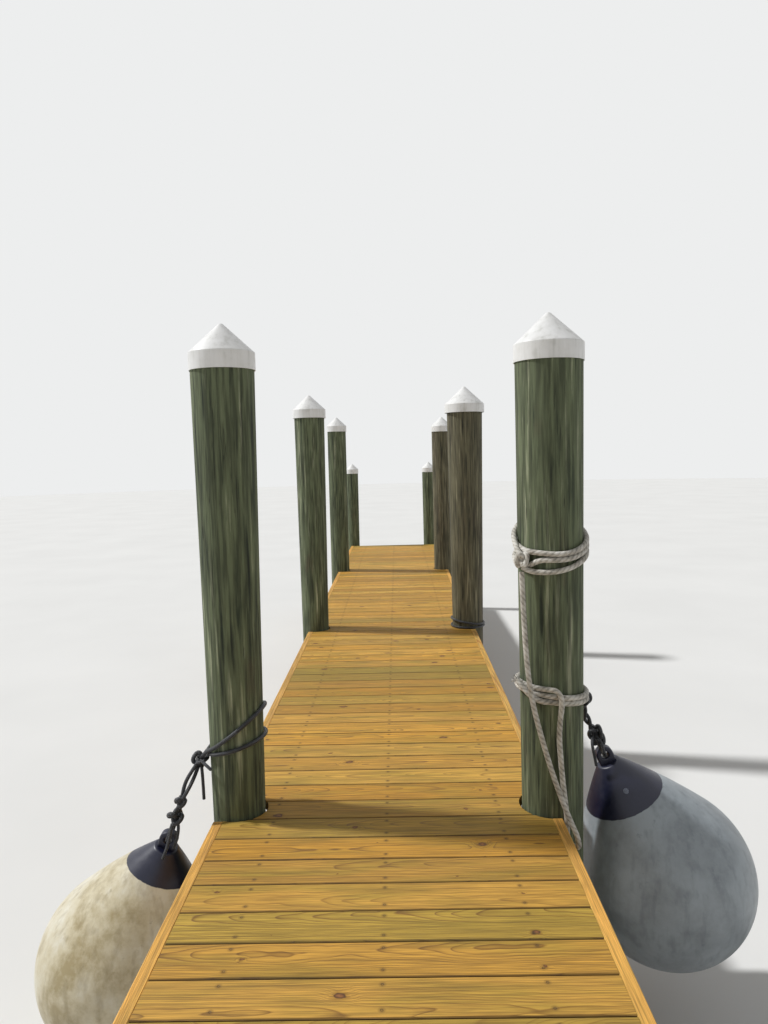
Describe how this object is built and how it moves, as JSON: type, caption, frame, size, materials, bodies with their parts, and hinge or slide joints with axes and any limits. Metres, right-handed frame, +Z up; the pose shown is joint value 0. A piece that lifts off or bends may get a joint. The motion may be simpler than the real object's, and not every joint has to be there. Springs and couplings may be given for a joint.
{
  "type": "wooden jetty",
  "caption": "Narrow timber jetty with cross-laid deck boards between pairs of tall round piles with conical caps, with round fenders hung on ropes.",
  "frame": {"origin": "at the water's surface, midway along the jetty and on the walkway's centre line", "axes": "+Y along the walkway to the shore, +Z up, +X to the right of someone walking to the shore"},
  "size_m": [2.8639, 12.073, 2.8655],
  "materials": {
    "pile_wood": "weathered green-grey treated pine",
    "deck_wood": "sawn golden treated pine",
    "edge_wood": "sawn golden treated pine",
    "frame_wood": "sawn treated pine",
    "cap_plastic": "moulded",
    "fender_vinyl": "inflated vinyl, scuffed, with a dark blue top",
    "black_rope": "braided rope",
    "grey_rope": "weathered laid rope"
  },
  "bodies": {
    "root": {"pile_1_left": "pile_wood", "cap_1_left": "cap_plastic", "pile_1_right": "pile_wood", "cap_1_right": "cap_plastic", "pile_2_left": "pile_wood", "cap_2_left": "cap_plastic", "pile_2_right": "pile_wood", "cap_2_right": "cap_plastic", "pile_3_left": "pile_wood", "cap_3_left": "cap_plastic", "pile_3_right": "pile_wood", "cap_3_right": "cap_plastic", "pile_4_left": "pile_wood", "cap_4_left": "cap_plastic", "pile_4_right": "pile_wood", "cap_4_right": "cap_plastic", "pile_5_left": "pile_wood", "cap_5_left": "cap_plastic", "pile_5_right": "pile_wood", "cap_5_right": "cap_plastic", "cross_beams_1": "frame_wood", "cross_beams_2": "frame_wood", "cross_beams_3": "frame_wood", "cross_beams_4": "frame_wood", "deck_boards_bay_1": "deck_wood", "edge_board_left_bay_1": "edge_wood", "edge_board_right_bay_1": "edge_wood", "deck_boards_bay_2": "deck_wood", "edge_board_left_bay_2": "edge_wood", "edge_board_right_bay_2": "edge_wood", "deck_boards_bay_3": "deck_wood", "edge_board_left_bay_3": "edge_wood", "edge_board_right_bay_3": "edge_wood", "deck_boards_bay_4": "deck_wood", "edge_board_left_bay_4": "edge_wood", "edge_board_right_bay_4": "edge_wood", "stringer_left": "frame_wood", "stringer_middle": "frame_wood", "stringer_right": "frame_wood", "shore_beam": "frame_wood", "end_board": "edge_wood", "rope_turns_left": "black_rope", "knots_left": "black_rope", "lanyard_left": "black_rope", "eye_loop_left": "black_rope", "rope_turns_upper_right": "grey_rope", "hitch_right": "grey_rope", "mooring_bight": "grey_rope", "rope_turns_lower_right": "grey_rope", "knots_right": "grey_rope", "lanyard_right": "grey_rope", "eye_loop_right": "grey_rope", "fender_left": "fender_vinyl", "fender_right": "fender_vinyl"}
  },
  "joints": []
}
